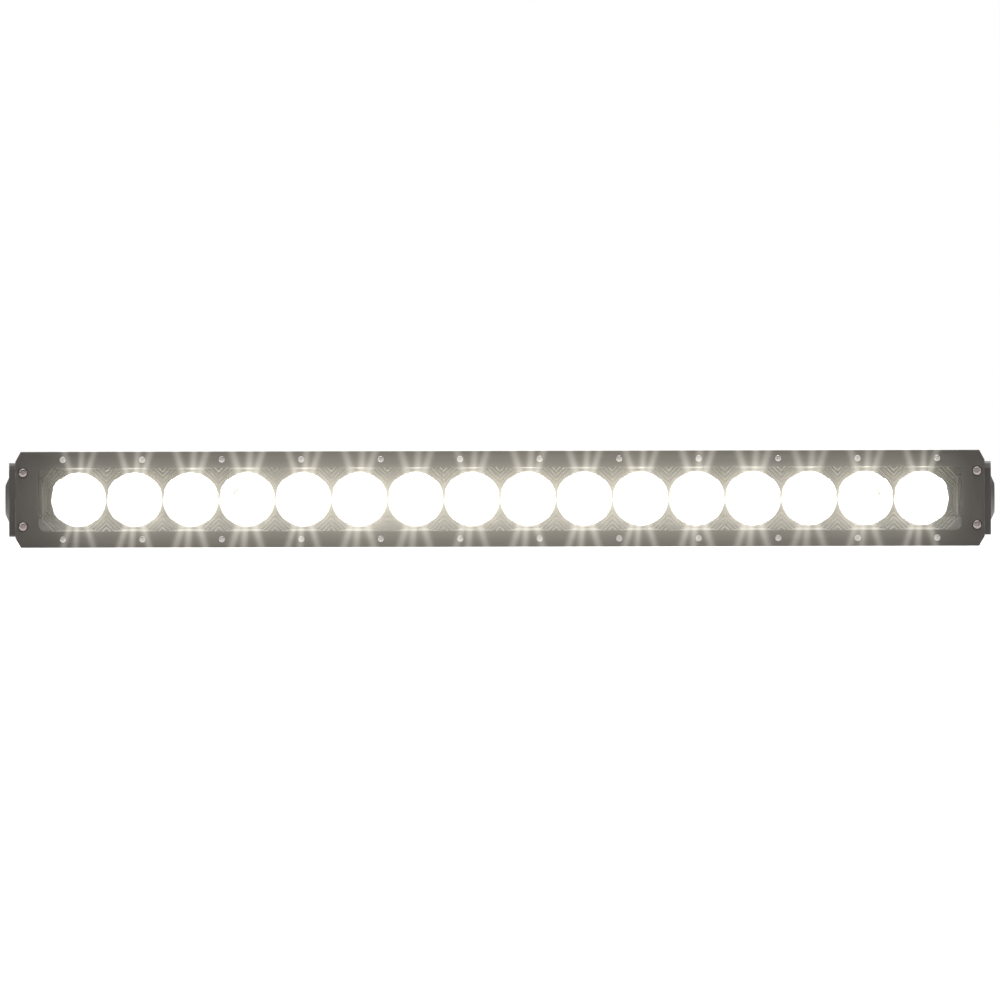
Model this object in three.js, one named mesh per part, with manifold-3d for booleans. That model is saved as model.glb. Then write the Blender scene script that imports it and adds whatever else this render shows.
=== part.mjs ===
// Single-row LED light bar for a truck or trailer: an extruded aluminium housing with heat-sink ribs,
// sixteen reflector cups behind one clear lens, a screwed-on front bezel, two die-cast end caps with
// threaded bosses, and two tilting feet on saddles that slide in the T-slot at the back.
// Millimetres. +X runs along the bar, -Y is the way the light shines, +Z is up.
import * as THREE from "three";
import { mergeVertices } from "three/addons/utils/BufferGeometryUtils.js";
import Module from "manifold-3d";

const wasm = await Module();
wasm.setup();

// ---- Driving dimensions ----------------------------------------------------------------------------------
const LED_COUNT = 16;
const LED_PITCH = 48;
const HALF_HEIGHT = 41; // the bezel and the rib tips
const BEZEL_HALF = 413.5; // half lengths, from the middle of the bar
const SLAB_HALF = 419; // the end caps' flat outer faces
const BOSS_HALF = 422.5; // the bosses' faces, the ends of the bar
const GAP = 0.3; // between pieces that touch

// Stations from front to back, measured in the bar's own section
const BEZEL_FRONT = -38;
const BEZEL_BACK = -33;
const HOUSING_FRONT = BEZEL_BACK + GAP;
const LEDGE = -27; // where the lens gasket sits
const WEB_FRONT = -1; // the wall that carries the LED boards
const WEB_BACK = 4;
const CHAMBER_BACK = 20; // the driver chamber lies between the web and this
const WALL_BACK = 24;
const FIN_TIP = 42;
const PIVOT_Y = 62; // the feet's tilt axis
const FOOT_BACK = 112; // the feet's mounting faces

// Window, lens and reflectors
const WINDOW_HALF = 394;
const WINDOW_HALF_Z = 27;
const LENS = { halfX: 398, halfZ: 31.1, front: -32.4, back: -28.9 };
const LENS_GASKET = { halfX: 397.5, halfZ: 31.1, innerX: 394.6, innerZ: 27.8, front: -28.6, back: -27.3 };
const REFLECTOR = { front: -28.2, plateBack: -21.5, halfZ: 27.1, endX: 394.2, step: 1.3, wall: 1.9 };
const CUP = { rimRadius: 23.5, throatRadius: 10.9, rimY: -24.3, throatY: -4.6 }; // its focus is at the LED
const TERRACES = [25.4, 28.2, 30.9]; // half widths across the diagonals, from the deepest step outwards
const LED_BOARD = { front: -2.9, back: -1.3, halfZ: 14 };

// Housing section
const CORE_Z = 33; // the housing's outer skin between the ribs
const SKIN_Z = 28.5; // its inner face
const PORT_BOSS = { z: 24, front: -18.5, back: -9.5, rearFront: 11, rearZ: 21.5 }; // round the screw ports
const FLANGE_BACK = -20;
const RIB_STATIONS = [-14, -6, 2, 10, 18];
const RIB_THICKNESS = 2;
const REAR_FINS = [
  { z: 32, tip: 35 },
  { z: 26.5, tip: 39.5 },
  { z: 21, tip: FIN_TIP },
  { z: 15.5, tip: FIN_TIP },
];
const T_SLOT = { boss: 10.5, mouth: 4.5, cavity: 7.5, lip: 38.5, floor: 32 };
const HOUSING_HALF = 400;
const POCKET = { half: 42, halfZ: 17 }; // milled through the fins for the gland and the vent
const GLAND_X = -17;
const VENT_X = 20;

// Fasteners
const RAIL_SCREWS = { count: 12, half: 373, z: 34, radius: 1.7 };
const BEZEL_END_SCREW = { x: 407, z: 23, head: 3.8, headFront: BEZEL_FRONT - 0.9, seat: -36.5, tip: -21 };
const CAP_SCREWS = [
  { y: -14, z: 28 },
  { y: -14, z: -28 },
  { y: 16, z: 26 },
  { y: 16, z: -26 },
];
const CAP_SCREW = { head: 3.4, seat: 414.5, tip: 390 };
const M4 = 1.95;
const M4_HOLE = 2.3;
const M8 = 4;
const M8_HOLE = 4.4;
const M8_HEX = 13; // across flats
const BOSS = { y: 4, base: 20.3, top: 12.45, thread: 3.4, depth: 16 };
const SLAB_HALF_Z = 31.4;

// Mounting brackets
const BRACKET_X = 230;
const STRAP = { half: 15, thickness: 3 };
const SADDLE_HALF = 21;
const FOOT_HALF = SADDLE_HALF + 2 * GAP + STRAP.thickness;
const FOOT_SLOT = { half: 13, radius: 4.5 };

// ---- Materials -------------------------------------------------------------------------------------------
const material = (color, roughness, metalness, more = {}) =>
  new THREE.MeshStandardMaterial({ color, roughness, metalness, ...more });
const blackCoat = material(0x26241f, 0.55, 0.3);
const clearLens = material(0xf4f7f8, 0.05, 0.0, { transparent: true, opacity: 0.3 });
const chromed = material(0xdcdcd8, 0.08, 1.0);
const silicone = material(0x2b2b2c, 0.85, 0.0);
const boardMask = material(0xe9e9e4, 0.6, 0.0);
const driverMask = material(0x1d5a35, 0.55, 0.0);
const phosphor = material(0xfff4d2, 0.4, 0.0);
const stainless = material(0xb9b6b0, 0.3, 1.0);
const zincSteel = material(0xa9a9a6, 0.4, 1.0);
const nylon = material(0x1c1c1d, 0.6, 0.0);

// ---- Outlines --------------------------------------------------------------------------------------------
function circle(u, v, radius, sides) {
  return Array.from({ length: sides }, (_, i) => {
    const turn = (2 * Math.PI * (i + 0.5)) / sides;
    return [u + radius * Math.cos(turn), v + radius * Math.sin(turn)];
  });
}

// A rectangle with quarter-round corners, each of `steps` straight pieces.
function roundedBox(halfU, halfV, radius, steps = 4) {
  const points = [];
  for (let corner = 0; corner < 4; corner += 1) {
    const signU = corner === 0 || corner === 3 ? 1 : -1;
    const signV = corner < 2 ? 1 : -1;
    for (let i = 0; i <= steps; i += 1) {
      const turn = (Math.PI / 2) * (corner + i / steps);
      points.push([
        signU * (halfU - radius) + radius * Math.cos(turn),
        signV * (halfV - radius) + radius * Math.sin(turn),
      ]);
    }
  }
  return points;
}

// The mirror image below z = 0, in the order that carries on from the last point above it.
const mirrorZ = (outline) => outline.map(([u, v]) => [u, -v]).reverse();
const moved = (outline, du, dv) => outline.map(([u, v]) => [u + du, v + dv]);
const stadium = (halfU, halfV) => roundedBox(halfU, halfV, halfV - 0.001, 5);
const hexagon = (u, v, acrossFlats) => circle(u, v, acrossFlats / Math.sqrt(3), 6);

// ---- Solids ----------------------------------------------------------------------------------------------
// A three.js geometry as a closed manifold-3d solid.
function solidOf(geometry) {
  const bare = new THREE.BufferGeometry().setAttribute(
    "position",
    (geometry.index ? geometry.toNonIndexed() : geometry).getAttribute("position"),
  );
  const merged = mergeVertices(bare, 1e-4);
  return new wasm.Manifold(
    new wasm.Mesh({
      numProp: 3,
      vertProperties: merged.attributes.position.array,
      triVerts: new Uint32Array(merged.index.array),
    }),
  );
}

function geometryOf(solid) {
  const mesh = solid.getMesh();
  const geometry = new THREE.BufferGeometry();
  geometry.setAttribute("position", new THREE.BufferAttribute(mesh.vertProperties, 3));
  geometry.setIndex(new THREE.BufferAttribute(mesh.triVerts, 1));
  const faceted = geometry.toNonIndexed();
  faceted.computeVertexNormals();
  return faceted;
}

function shapeOf(outline, holes) {
  const shape = new THREE.Shape(outline.map(([u, v]) => new THREE.Vector2(u, v)));
  shape.holes = holes.map((hole) => new THREE.Path(hole.map(([u, v]) => new THREE.Vector2(u, v))));
  return shape;
}

function prism(outline, holes, depth, axes) {
  const geometry = new THREE.ExtrudeGeometry(shapeOf(outline, holes), { depth, bevelEnabled: false });
  return solidOf(geometry.applyMatrix4(axes));
}

// The outline is in (y, z), and the prism runs along X.
function prismX(outline, x0, x1, holes = []) {
  const alongX = new THREE.Matrix4().set(0, 0, 1, x0, 1, 0, 0, 0, 0, 1, 0, 0, 0, 0, 0, 1);
  return prism(outline, holes, x1 - x0, alongX);
}

// The outline is in (x, z), and the prism runs along Y.
function prismY(outline, y0, y1, holes = []) {
  const alongY = new THREE.Matrix4().set(1, 0, 0, 0, 0, 0, -1, y1, 0, 1, 0, 0, 0, 0, 0, 1);
  return prism(outline, holes, y1 - y0, alongY);
}

// The outline is in (x, y), and the prism runs along Z.
function prismZ(outline, z0, z1) {
  return prism(outline, [], z1 - z0, new THREE.Matrix4().makeTranslation(0, 0, z0));
}

// A turned solid: the profile is in (radius, distance along the axis).
function turned(profile, sides, axes) {
  const points = profile.map(([radius, along]) => new THREE.Vector2(radius, along));
  return solidOf(new THREE.LatheGeometry(points, sides).applyMatrix4(axes));
}

const turnedX = (profile, y, z, sides = 16) =>
  turned(profile, sides, new THREE.Matrix4().set(0, 1, 0, 0, 0, 0, 1, y, 1, 0, 0, z, 0, 0, 0, 1));
const turnedY = (profile, x, z, sides = 16) =>
  turned(profile, sides, new THREE.Matrix4().makeTranslation(x, 0, z));
const rod = (radius, from, to) => [
  [0, from],
  [radius, from],
  [radius, to],
  [0, to],
];
const rodX = (radius, x0, x1, y, z, sides) => turnedX(rod(radius, x0, x1), y, z, sides);
const rodY = (radius, y0, y1, x, z, sides) => turnedY(rod(radius, y0, y1), x, z, sides);
const boxOf = (x0, x1, y0, y1, z0, z1) =>
  prismZ(
    [
      [x0, y0],
      [x1, y0],
      [x1, y1],
      [x0, y1],
    ],
    z0,
    z1,
  );
const joined = (solids) => solids.reduce((whole, solid) => whole.add(solid));
const cut = (body, tools) => tools.reduce((left, tool) => left.subtract(tool), body);

// ---- The assembly ----------------------------------------------------------------------------------------
const bar = new THREE.Group();
// The origin is under the middle of the whole object, on the surface that it stands on.
bar.position.set(0, -(BEZEL_END_SCREW.headFront + FOOT_BACK) / 2, HALF_HEIGHT);

function addPiece(name, solid, finish, { x = 0, mirrored = false } = {}) {
  const mesh = new THREE.Mesh(geometryOf(solid), finish);
  mesh.name = name;
  mesh.position.x = x;
  mesh.scale.x = mirrored ? -1 : 1;
  bar.add(mesh);
}

// A piece made for the right end, and its mirror image at the left.
function addPair(name, solid, finish) {
  addPiece(`${name}_right`, solid, finish);
  addPiece(`${name}_left`, solid, finish, { mirrored: true });
}

const ledX = (i) => (i - (LED_COUNT - 1) / 2) * LED_PITCH;
const railScrewXs = Array.from(
  { length: RAIL_SCREWS.count },
  (_, i) => RAIL_SCREWS.half * ((2 * i) / (RAIL_SCREWS.count - 1) - 1),
);

// ---- Housing ---------------------------------------------------------------------------------------------
// The upper half of the extrusion's section, from its front edge over the ribs and fins to the T-slot.
function upperSection() {
  const points = [
    [HOUSING_FRONT, HALF_HEIGHT],
    [FLANGE_BACK, HALF_HEIGHT],
    [FLANGE_BACK, CORE_Z],
  ];
  for (const y of RIB_STATIONS) {
    const before = y - RIB_THICKNESS / 2;
    const after = y + RIB_THICKNESS / 2;
    points.push([before, CORE_Z], [before, HALF_HEIGHT], [after, HALF_HEIGHT], [after, CORE_Z]);
  }
  for (const { z, tip } of REAR_FINS) {
    const top = z + RIB_THICKNESS / 2;
    const under = z - RIB_THICKNESS / 2;
    if (top < CORE_Z) points.push([WALL_BACK, top]);
    points.push([tip, top], [tip, under], [WALL_BACK, under]);
  }
  points.push(
    [WALL_BACK, T_SLOT.boss],
    [FIN_TIP, T_SLOT.boss],
    [FIN_TIP, T_SLOT.mouth],
    [T_SLOT.lip, T_SLOT.mouth],
    [T_SLOT.lip, T_SLOT.cavity],
    [T_SLOT.floor, T_SLOT.cavity],
  );
  return points;
}

function housing() {
  const upper = upperSection();
  const lower = mirrorZ(upper);
  const chamber = [
    [HOUSING_FRONT, 31.5],
    [LEDGE, 31.5],
    [LEDGE, 27.4],
    [PORT_BOSS.front, 27.4],
    [PORT_BOSS.front, PORT_BOSS.z],
    [PORT_BOSS.back, PORT_BOSS.z],
    [PORT_BOSS.back, SKIN_Z],
    [WEB_FRONT, SKIN_Z],
  ];
  const outline = [...upper, ...lower, ...mirrorZ(chamber).reverse(), ...chamber.reverse()];
  const driverHalf = [
    [WEB_BACK, SKIN_Z],
    [PORT_BOSS.rearFront, SKIN_Z],
    [PORT_BOSS.rearFront, PORT_BOSS.rearZ],
    [CHAMBER_BACK, PORT_BOSS.rearZ],
  ];
  const driverChamber = [...driverHalf, ...mirrorZ(driverHalf)];
  const extrusion = prismX(outline, -HOUSING_HALF, HOUSING_HALF);
  const tappedHoles = railScrewXs.flatMap((x) =>
    [1, -1].map((side) => rodY(1.25, HOUSING_FRONT - 1, HOUSING_FRONT + 9, x, side * RAIL_SCREWS.z, 6)),
  );
  return cut(extrusion, [
    prismX(driverChamber, -HOUSING_HALF - 1, HOUSING_HALF + 1),
    ...CAP_SCREWS.map(({ y, z }) => prismX(circle(y, z, M4_HOLE, 8), -HOUSING_HALF - 1, HOUSING_HALF + 1)),
    prismY(moved(stadium(POCKET.half, POCKET.halfZ), (GLAND_X + VENT_X) / 2, 0), WALL_BACK, FIN_TIP + 1),
    rodY(8.2, CHAMBER_BACK - 1, WALL_BACK + 1, GLAND_X, 0, 20),
    rodY(6.2, CHAMBER_BACK - 1, WALL_BACK + 1, VENT_X, 0, 20),
    rodY(3, WEB_FRONT - 1, WEB_BACK + 1, LEAD.x, LEAD.z, 10),
    ...tappedHoles,
  ]);
}

// ---- Bezel and end caps ----------------------------------------------------------------------------------
// The bezel's front outline, whose ends are cut off at the corners, in (x, z).
const CORNER = { x: BEZEL_HALF - 4.6, z: 32.5 };

function bezel() {
  const outline = [
    [CORNER.x, HALF_HEIGHT],
    [-CORNER.x, HALF_HEIGHT],
    [-BEZEL_HALF, CORNER.z],
    [-BEZEL_HALF, -CORNER.z],
    [-CORNER.x, -HALF_HEIGHT],
    [CORNER.x, -HALF_HEIGHT],
    [BEZEL_HALF, -CORNER.z],
    [BEZEL_HALF, CORNER.z],
  ];
  const window = roundedBox(WINDOW_HALF, WINDOW_HALF_Z, 5, 3);
  const railHoles = railScrewXs.flatMap((x) =>
    [1, -1].map((side) => circle(x, side * RAIL_SCREWS.z, RAIL_SCREWS.radius, 6)),
  );
  const plate = prismY(outline, BEZEL_FRONT, BEZEL_BACK, [window, ...railHoles]);
  const endHoles = [1, -1].flatMap((end) =>
    [1, -1].flatMap((side) => {
      const x = end * BEZEL_END_SCREW.x;
      const z = side * BEZEL_END_SCREW.z;
      return [
        rodY(M4_HOLE, BEZEL_FRONT - 1, BEZEL_BACK + 1, x, z, 10),
        rodY(BEZEL_END_SCREW.head + 0.4, BEZEL_FRONT - 1, BEZEL_END_SCREW.seat, x, z, 20),
      ];
    }),
  );
  return cut(plate, endHoles);
}

// The end cap's side outline, which covers the ends of the ribs and fins, in (y, z).
const capSide = (inset) => {
  const half = [
    [HOUSING_FRONT + inset, HALF_HEIGHT - inset],
    [19 - inset, HALF_HEIGHT - inset],
    [36 - inset, 33 - inset],
    [FIN_TIP - inset, 23 - inset],
  ];
  return [...half, ...mirrorZ(half)];
};

function endCap() {
  const frontOutline = [
    [402, HALF_HEIGHT],
    [402, -HALF_HEIGHT],
    [CORNER.x, -HALF_HEIGHT],
    [BEZEL_HALF, -CORNER.z],
    [BEZEL_HALF, CORNER.z],
    [CORNER.x, HALF_HEIGHT],
  ];
  const body = prismY(frontOutline, HOUSING_FRONT - 1, FIN_TIP + 1).intersect(prismX(capSide(0), 401, 415));
  const slab = prismX(moved(roundedBox(32, SLAB_HALF_Z, 6, 2), BOSS.y, 0), 412, SLAB_HALF);
  const boss = turnedX(
    [
      [0, 412],
      [BOSS.base, 412],
      [BOSS.base, SLAB_HALF],
      [BOSS.top, BOSS_HALF],
      [0, BOSS_HALF],
    ],
    BOSS.y,
    0,
    32,
  );
  const screw = BEZEL_END_SCREW;
  return cut(joined([body, slab, boss]), [
    rodX(BOSS.thread, BOSS_HALF - BOSS.depth, BOSS_HALF + 1, BOSS.y, 0, 20),
    ...CAP_SCREWS.flatMap(({ y, z }) => [
      rodX(M4_HOLE, 400, SLAB_HALF + 1, y, z, 8),
      rodX(CAP_SCREW.head + 0.5, CAP_SCREW.seat, SLAB_HALF + 1, y, z, 10),
    ]),
    ...[1, -1].map((side) => rodY(M4_HOLE, HOUSING_FRONT - 1, screw.tip + 2, screw.x, side * screw.z, 10)),
  ]);
}

const endGasket = () =>
  prismX(
    capSide(1),
    HOUSING_HALF + GAP,
    402 - GAP,
    CAP_SCREWS.map(({ y, z }) => circle(y, z, M4_HOLE + GAP, 8)),
  );

// ---- Optics ----------------------------------------------------------------------------------------------
const lens = () => prismY(roundedBox(LENS.halfX, LENS.halfZ, 4, 2), LENS.front, LENS.back);

const lensGasket = () =>
  prismY(roundedBox(LENS_GASKET.halfX, LENS_GASKET.halfZ, 4, 2), LENS_GASKET.front, LENS_GASKET.back, [
    roundedBox(LENS_GASKET.innerX, LENS_GASKET.innerZ, 0.5, 1),
  ]);

// The cup's parabola: its radius at a depth measured from the rim's plane towards the LED.
function cupRadius(y) {
  const share = (y - CUP.rimY) / (CUP.throatY - CUP.rimY);
  return Math.sqrt(CUP.rimRadius ** 2 + (CUP.throatRadius ** 2 - CUP.rimRadius ** 2) * share);
}

function cupProfile(offset, from, to, rings) {
  const curve = Array.from({ length: rings + 1 }, (_, i) => {
    const y = from + ((to - from) * i) / rings;
    return [cupRadius(Math.max(CUP.rimY, Math.min(CUP.throatY, y))) + offset, y];
  });
  return [[0, from], ...curve, [0, to]];
}

// One step of the octagonal frame round a cup: an outline cut off across its corners, in (x, z).
function terrace(x, level, left, right) {
  const across = TERRACES[level] * Math.SQRT2;
  const z = 25.4 + 0.6 * level;
  const corner = across - z;
  return [
    [x + right, across - right],
    [x + corner, z],
    [x - corner, z],
    [x - left, across - left],
    [x - left, left - across],
    [x - corner, -z],
    [x + corner, -z],
    [x + right, right - across],
  ];
}

// A moulding of cups first to last, with stepped octagonal frames that meet in chevrons between them.
function reflector(first, last) {
  const outermost = { left: first === 0, right: last === LED_COUNT - 1 };
  const x0 = outermost.left ? -REFLECTOR.endX : ledX(first) - LED_PITCH / 2 + GAP / 2;
  const x1 = outermost.right ? REFLECTOR.endX : ledX(last) + LED_PITCH / 2 - GAP / 2;
  const cells = Array.from({ length: last - first + 1 }, (_, i) => first + i);
  const plate = boxOf(x0, x1, REFLECTOR.front, REFLECTOR.plateBack, -REFLECTOR.halfZ, REFLECTOR.halfZ);
  const shells = cells.map((i) =>
    turnedY(cupProfile(REFLECTOR.wall, REFLECTOR.plateBack - 1, CUP.throatY, 3), ledX(i), 0, 14),
  );
  const hollows = cells.map((i) => turnedY(cupProfile(0, CUP.rimY - 1, CUP.throatY + 1, 3), ledX(i), 0, 14));
  const steps = cells.flatMap((i) =>
    TERRACES.map((_, level) => {
      const endReach = 27 + 1.1 * level;
      const reach = LED_PITCH / 2 + 0.5;
      const left = i === 0 ? endReach : reach;
      const right = i === LED_COUNT - 1 ? endReach : reach;
      const floor = REFLECTOR.front + REFLECTOR.step * (TERRACES.length - level);
      return prismY(terrace(ledX(i), level, left, right), REFLECTOR.front - 1, floor);
    }),
  );
  return cut(joined([plate, ...shells]), [...hollows, ...steps]);
}

const ledBoard = () => boxOf(0.5, 384, LED_BOARD.front, LED_BOARD.back, -LED_BOARD.halfZ, LED_BOARD.halfZ);

// A square LED package with a domed lens.
function led() {
  const back = LED_BOARD.front - GAP;
  const base = boxOf(-2.5, 2.5, back - 0.8, back, -2.5, 2.5);
  const dome = turnedY(
    [
      [0, back - 2.5],
      [1.5, back - 2.1],
      [2.2, back - 0.4],
      [0, back - 0.4],
    ],
    0,
    0,
    8,
  );
  return base.add(dome);
}

// ---- Driver, leads, gland and vent -----------------------------------------------------------------------
const DRIVER = { x0: 60, x1: 230, front: 16.9, back: 18.5, halfZ: 17 };
const LEAD = { x: 2 * LED_PITCH, z: 18, radius: 1.5 };

function driverBoard() {
  const face = DRIVER.front + 0.2;
  const coils = [105, 135].map((x) => rodY(8, face - 9.5, face, x, 3, 16));
  const capacitors = [160, 174, 188].map((x) => rodY(5, face - 11, face, x, -6, 12));
  const inputBlock = boxOf(64, 76, face - 8, face, -12, 0);
  const switches = [205, 217].map((x) => boxOf(x - 4, x + 4, face - 2.5, face, -5, 5));
  return joined([
    boxOf(DRIVER.x0, DRIVER.x1, DRIVER.front, DRIVER.back, -DRIVER.halfZ, DRIVER.halfZ),
    ...coils,
    ...capacitors,
    inputBlock,
    ...switches,
  ]);
}

// The lead from the driver through the web to the edge of the LED board.
function boardLead() {
  const route = new THREE.CatmullRomCurve3([
    new THREE.Vector3(LEAD.x, DRIVER.front - GAP, 13),
    new THREE.Vector3(LEAD.x, 11, 14),
    new THREE.Vector3(LEAD.x, 6, LEAD.z),
    new THREE.Vector3(LEAD.x, 1, LEAD.z),
    new THREE.Vector3(LEAD.x, -3.5, LEAD.z - 0.5),
    new THREE.Vector3(LEAD.x, -5.5, 15),
    new THREE.Vector3(LEAD.x, -5.2, 13),
  ]);
  const section = new THREE.Shape(circle(0, 0, LEAD.radius, 6).map(([u, v]) => new THREE.Vector2(u, v)));
  return solidOf(new THREE.ExtrudeGeometry(section, { steps: 14, bevelEnabled: false, extrudePath: route }));
}

const GLAND = { bore: 3.7, thread: 7.8, hex: 22, hexTop: 30, stem: 8.5, stemTop: 36, mouth: 5, top: 44 };

function glandBody() {
  const base = WALL_BACK + GAP;
  const turnedPart = turnedY(
    [
      [GLAND.bore, 15],
      [GLAND.thread, 15],
      [GLAND.thread, base + 1],
      [GLAND.stem, base + 1],
      [GLAND.stem, GLAND.stemTop],
      [GLAND.bore, GLAND.stemTop],
      [GLAND.bore, 15],
    ],
    GLAND_X,
    0,
    20,
  );
  const hex = prismY(hexagon(GLAND_X, 0, GLAND.hex), base, GLAND.hexTop, [circle(GLAND_X, 0, 6, 12)]);
  return turnedPart.add(hex);
}

function glandNut() {
  const base = GLAND.hexTop + GAP;
  const outside = prismY(hexagon(GLAND_X, 0, GLAND.hex), base, 38).add(
    turnedY(
      [
        [0, base],
        [10.6, base],
        [10.6, 39],
        [9.2, 42.5],
        [7.6, GLAND.top],
        [0, GLAND.top],
      ],
      GLAND_X,
      0,
      20,
    ),
  );
  return cut(outside, [
    rodY(GLAND.stem + GAP, base - 1, 41.3, GLAND_X, 0, 20),
    rodY(GLAND.mouth, 41, GLAND.top + 1, GLAND_X, 0, 20),
  ]);
}

const glandSeal = () =>
  turnedY(
    [
      [GLAND.bore, GLAND.stemTop + GAP],
      [8.3, GLAND.stemTop + GAP],
      [8.3, 41],
      [GLAND.bore, 41],
      [GLAND.bore, GLAND.stemTop + GAP],
    ],
    GLAND_X,
    0,
    20,
  );

function vent() {
  const base = WALL_BACK + GAP;
  return joined([
    prismY(hexagon(VENT_X, 0, 16), base, base + 3.5),
    turnedY(
      [
        [0, 18],
        [5.8, 18],
        [5.8, base + 1],
        [7.4, base + 1],
        [7.4, base + 6],
        [6.2, base + 7],
        [0, base + 7],
      ],
      VENT_X,
      0,
      20,
    ),
  ]);
}

// ---- Screws ----------------------------------------------------------------------------------------------
const capScrew = ({ y, z }) =>
  turnedX(
    [
      [0, CAP_SCREW.tip],
      [M4, CAP_SCREW.tip],
      [M4, CAP_SCREW.seat + GAP],
      [CAP_SCREW.head, CAP_SCREW.seat + GAP],
      [CAP_SCREW.head, SLAB_HALF - 0.5],
      [0, SLAB_HALF - 0.5],
    ],
    y,
    z,
    10,
  );

const bezelEndScrew = (side) =>
  turnedY(
    [
      [0, BEZEL_END_SCREW.headFront],
      [2.2, BEZEL_END_SCREW.headFront],
      [BEZEL_END_SCREW.head, BEZEL_END_SCREW.headFront + 1.2],
      [BEZEL_END_SCREW.head, BEZEL_END_SCREW.seat - GAP],
      [M4, BEZEL_END_SCREW.seat - GAP],
      [M4, BEZEL_END_SCREW.tip],
      [0, BEZEL_END_SCREW.tip],
    ],
    BEZEL_END_SCREW.x,
    side * BEZEL_END_SCREW.z,
    12,
  );

// ---- Mounting brackets, made at x = 0 --------------------------------------------------------------------
// A strap's side outline: straight, with a round end about the pivot, in (y, z).
function strapSide(farY) {
  const away = Math.sign(farY - PIVOT_Y);
  const steps = 8;
  const round = Array.from({ length: steps + 1 }, (_, i) => {
    const turn = Math.PI * (i / steps - 0.5);
    return [PIVOT_Y - away * STRAP.half * Math.cos(turn), STRAP.half * Math.sin(turn)];
  });
  const outline = [...round, [farY, STRAP.half], [farY, -STRAP.half]];
  return away > 0 ? outline.reverse() : outline;
}

// A folded strap, seen from above: two ears and the web between them, in (x, y).
const foldedStrap = (half, webFace, earTip) => {
  const inward = Math.sign(earTip - webFace) * STRAP.thickness;
  return [
    [-half, webFace],
    [half, webFace],
    [half, earTip],
    [half - STRAP.thickness, earTip],
    [half - STRAP.thickness, webFace + inward],
    [STRAP.thickness - half, webFace + inward],
    [STRAP.thickness - half, earTip],
    [-half, earTip],
  ];
};

const pivotHole = (half) => rodX(M8_HOLE, -half - 1, half + 1, PIVOT_Y, 0, 16);

function saddle() {
  const face = FIN_TIP + GAP;
  const strap = prismZ(foldedStrap(SADDLE_HALF, face, PIVOT_Y + STRAP.half), -STRAP.half, STRAP.half);
  return cut(strap.intersect(prismX(strapSide(face - 1), -30, 30)), [
    pivotHole(SADDLE_HALF),
    rodY(M8_HOLE, face - 1, face + STRAP.thickness + 1, 0, 0, 16),
  ]);
}

function foot() {
  const outline = foldedStrap(FOOT_HALF, FOOT_BACK, PIVOT_Y - STRAP.half).reverse();
  const strap = prismZ(outline, -STRAP.half, STRAP.half);
  return cut(strap.intersect(prismX(strapSide(FOOT_BACK + 1), -30, 30)), [
    pivotHole(FOOT_HALF),
    prismY(
      stadium(FOOT_SLOT.half, FOOT_SLOT.radius),
      FOOT_BACK - STRAP.thickness - 1,
      FOOT_BACK + 1,
    ),
  ]);
}

// The T-headed bolt that rides in the slot and clamps the saddle.
const tBolt = () =>
  boxOf(-10, 10, T_SLOT.floor + 1, T_SLOT.lip - GAP, -6.9, 6.9).add(rodY(M8, T_SLOT.lip - 1, 55, 0, 0, 12));

function clampNut() {
  const seat = FIN_TIP + STRAP.thickness + 2 * GAP;
  const body = prismY(hexagon(0, 0, M8_HEX), seat, seat + 7.5).add(rodY(8.5, seat, seat + 1.5, 0, 0, 16));
  return body.subtract(rodY(M8 + GAP, seat - 1, seat + 9, 0, 0, 12));
}

const HEAD_SEAT = FOOT_HALF + GAP;
const NUT_THICKNESS = 7.5;
const pivotBolt = () =>
  prismX(hexagon(PIVOT_Y, 0, M8_HEX), HEAD_SEAT, HEAD_SEAT + 5.3).add(
    rodX(M8, -HEAD_SEAT - NUT_THICKNESS - 1.5, HEAD_SEAT + 1, PIVOT_Y, 0, 16),
  );
const pivotNut = () =>
  prismX(hexagon(PIVOT_Y, 0, M8_HEX), -HEAD_SEAT - NUT_THICKNESS, -HEAD_SEAT, [
    circle(PIVOT_Y, 0, M8 + GAP, 12),
  ]);

// ---- Putting it together ---------------------------------------------------------------------------------
addPiece("housing", housing(), blackCoat);
addPiece("bezel", bezel(), blackCoat);
addPiece("lens", lens(), clearLens);
addPiece("lens_gasket", lensGasket(), silicone);

const CUPS_EACH = 4;
for (let module = 0; module < LED_COUNT / CUPS_EACH; module += 1) {
  const first = module * CUPS_EACH;
  addPiece(`reflector_${module + 1}`, reflector(first, first + CUPS_EACH - 1), chromed);
}
addPair("led_board", ledBoard(), boardMask);
const ledSolid = led();
for (let i = 0; i < LED_COUNT; i += 1) {
  addPiece(`led_${String(i + 1).padStart(2, "0")}`, ledSolid, phosphor, { x: ledX(i) });
}

addPair("end_cap", endCap(), blackCoat);
addPair("end_gasket", endGasket(), silicone);
CAP_SCREWS.forEach((place, i) => addPair(`cap_screw_${i + 1}`, capScrew(place), stainless));
addPair("bezel_end_screw_top", bezelEndScrew(1), stainless);
addPair("bezel_end_screw_bottom", bezelEndScrew(-1), stainless);

addPiece("driver_board", driverBoard(), driverMask);
addPiece("board_lead", boardLead(), silicone);
addPiece("gland_body", glandBody(), nylon);
addPiece("gland_nut", glandNut(), nylon);
addPiece("gland_seal", glandSeal(), silicone);
addPiece("vent", vent(), nylon);

const bracketPieces = [
  ["saddle", saddle(), blackCoat],
  ["t_bolt", tBolt(), zincSteel],
  ["clamp_nut", clampNut(), zincSteel],
  ["foot", foot(), blackCoat],
  ["pivot_bolt", pivotBolt(), stainless],
  ["pivot_nut", pivotNut(), stainless],
];
for (const [name, solid, finish] of bracketPieces) {
  addPiece(`${name}_right`, solid, finish, { x: BRACKET_X });
  addPiece(`${name}_left`, solid, finish, { x: -BRACKET_X, mirrored: true });
}

const model = new THREE.Group();
model.add(bar);

export default model;
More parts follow.
